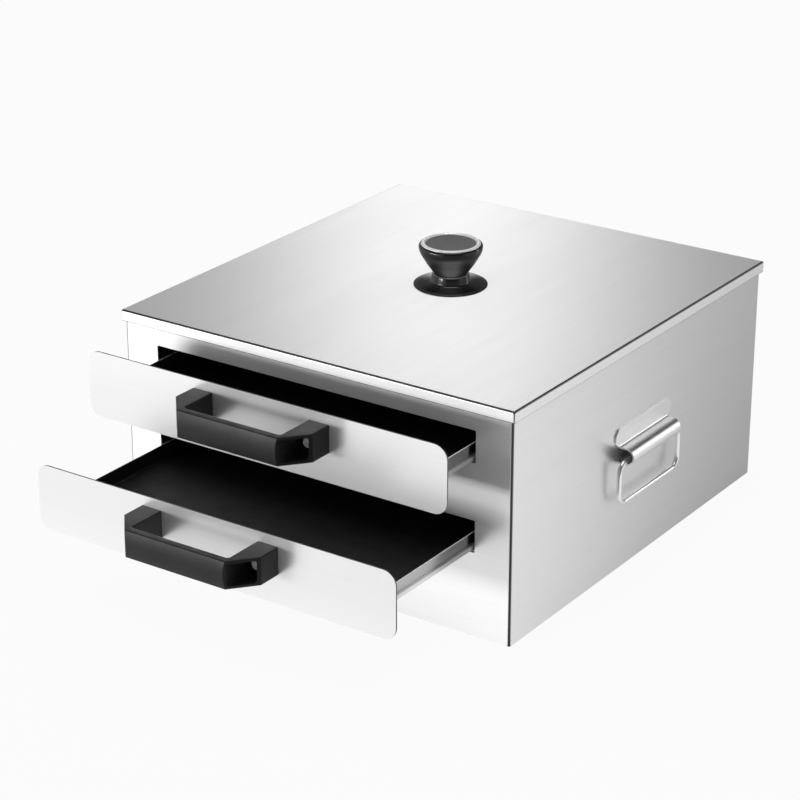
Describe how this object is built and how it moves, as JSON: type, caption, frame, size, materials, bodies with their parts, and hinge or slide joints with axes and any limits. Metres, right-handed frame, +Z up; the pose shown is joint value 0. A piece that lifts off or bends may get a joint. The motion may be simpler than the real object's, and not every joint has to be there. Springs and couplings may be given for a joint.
{
  "type": "rice noodle roll steamer",
  "caption": "Drawer-type stainless steam cabinet with pull-out trays, a lift-off lid with a knob, and folding wire grips on its sides.",
  "frame": {"origin": "centre of the cabinet's base, on the surface that it stands on", "axes": "+Z up, the drawers pull out towards -Y, +X to the right as seen from the front"},
  "size_m": [0.356, 0.5054, 0.2078],
  "materials": {
    "cabinet_steel": "fine brushed stainless sheet, grain along the cabinet",
    "pan_steel": "plain mill-finish stainless sheet",
    "rail_steel": "plain stainless angle",
    "bracket_steel": "pressed stainless, lightly polished",
    "wire_steel": "polished stainless wire",
    "front_steel": "fine brushed stainless sheet, grain from side to side",
    "tray_coated_steel": "black non-stick coat inside, bare brushed steel outside",
    "runner_steel": "plain stainless bar",
    "handle_phenolic": "black moulded phenolic with a soft sheen",
    "fastener_steel": "bright plated steel",
    "lid_steel": "fine brushed stainless sheet, grain from front to back",
    "knob_phenolic": "glossy black moulded phenolic",
    "knob_chrome": "mirror chrome",
    "knob_disc_metal": "fine turned grey disc"
  },
  "bodies": {
    "cabinet": {"front_panel": "cabinet_steel", "back_panel": "cabinet_steel", "right_side_panel": "cabinet_steel", "left_side_panel": "cabinet_steel", "bottom_pan": "pan_steel", "lower_right_rail": "rail_steel", "lower_left_rail": "rail_steel", "upper_right_rail": "rail_steel", "upper_left_rail": "rail_steel", "right_bail_bracket": "bracket_steel", "left_bail_bracket": "bracket_steel"},
    "lid": {"lid_cover": "lid_steel", "knob_skirt": "knob_phenolic", "knob_body": "knob_phenolic", "knob_ring": "knob_chrome", "knob_disc": "knob_disc_metal", "knob_washer": "fastener_steel", "knob_screw": "fastener_steel"},
    "upper_drawer": {"upper_drawer_front": "front_steel", "upper_tray": "tray_coated_steel", "upper_right_runner": "runner_steel", "upper_left_runner": "runner_steel", "upper_handle": "handle_phenolic", "upper_handle_screws": "fastener_steel", "upper_handle_washers": "fastener_steel", "upper_handle_nuts": "fastener_steel"},
    "lower_drawer": {"lower_drawer_front": "front_steel", "lower_tray": "tray_coated_steel", "lower_right_runner": "runner_steel", "lower_left_runner": "runner_steel", "lower_handle": "handle_phenolic", "lower_handle_screws": "fastener_steel", "lower_handle_washers": "fastener_steel", "lower_handle_nuts": "fastener_steel"},
    "right_bail": {"right_bail": "wire_steel"},
    "left_bail": {"left_bail": "wire_steel"}
  },
  "joints": [
    {"name": "lid_lift", "type": "slide", "parent": "cabinet", "child": "lid", "axis": [0, 0, 1], "range_m": [0, 0.08]},
    {"name": "upper_drawer_slide", "type": "slide", "parent": "cabinet", "child": "upper_drawer", "axis": [0, -1, 0], "range_m": [-0.0557, 0.194]},
    {"name": "lower_drawer_slide", "type": "slide", "parent": "cabinet", "child": "lower_drawer", "axis": [0, -1, 0], "range_m": [-0.1137, 0.136]},
    {"name": "right_bail_swing", "type": "hinge", "parent": "cabinet", "child": "right_bail", "pos_m": [0.1715, 0, 0.0879], "axis": [0, -1, 0], "range_deg": [-7, 187]},
    {"name": "left_bail_swing", "type": "hinge", "parent": "cabinet", "child": "left_bail", "pos_m": [-0.1715, 0, 0.0879], "axis": [0, 1, 0], "range_deg": [-7, 187]}
  ]
}
